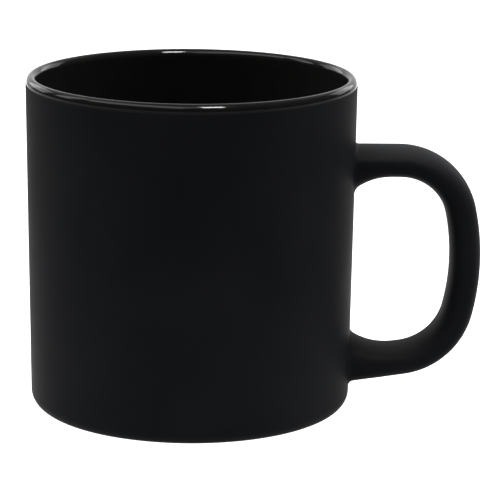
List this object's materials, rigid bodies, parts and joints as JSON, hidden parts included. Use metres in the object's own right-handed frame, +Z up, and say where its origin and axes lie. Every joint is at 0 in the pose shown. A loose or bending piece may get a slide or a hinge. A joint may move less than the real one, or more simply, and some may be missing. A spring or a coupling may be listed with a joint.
{
  "type": "mug",
  "caption": "Straight-sided ceramic mug with a loop handle, a glossy inside and lip, a matt outside and a bare foot ring.",
  "frame": {"origin": "centre of the foot ring, on the surface that the mug stands on and on the cup's axis", "axes": "+Z up along the cup's axis, +X towards the handle, +Y across the handle"},
  "size_m": [0.1247, 0.09, 0.0916],
  "materials": {
    "bare_clay": "unglazed stoneware",
    "fired_slip": "fired luting slip",
    "gloss_glaze": "gloss black glaze",
    "matt_coat": "matt black coat"
  },
  "bodies": {
    "root": {"mug_body": "bare_clay", "handle": "bare_clay", "upper_slip": "fired_slip", "lower_slip": "fired_slip", "liner_glaze": "gloss_glaze", "wall_coat": "matt_coat", "handle_coat": "matt_coat", "base_glaze": "gloss_glaze"}
  },
  "joints": []
}
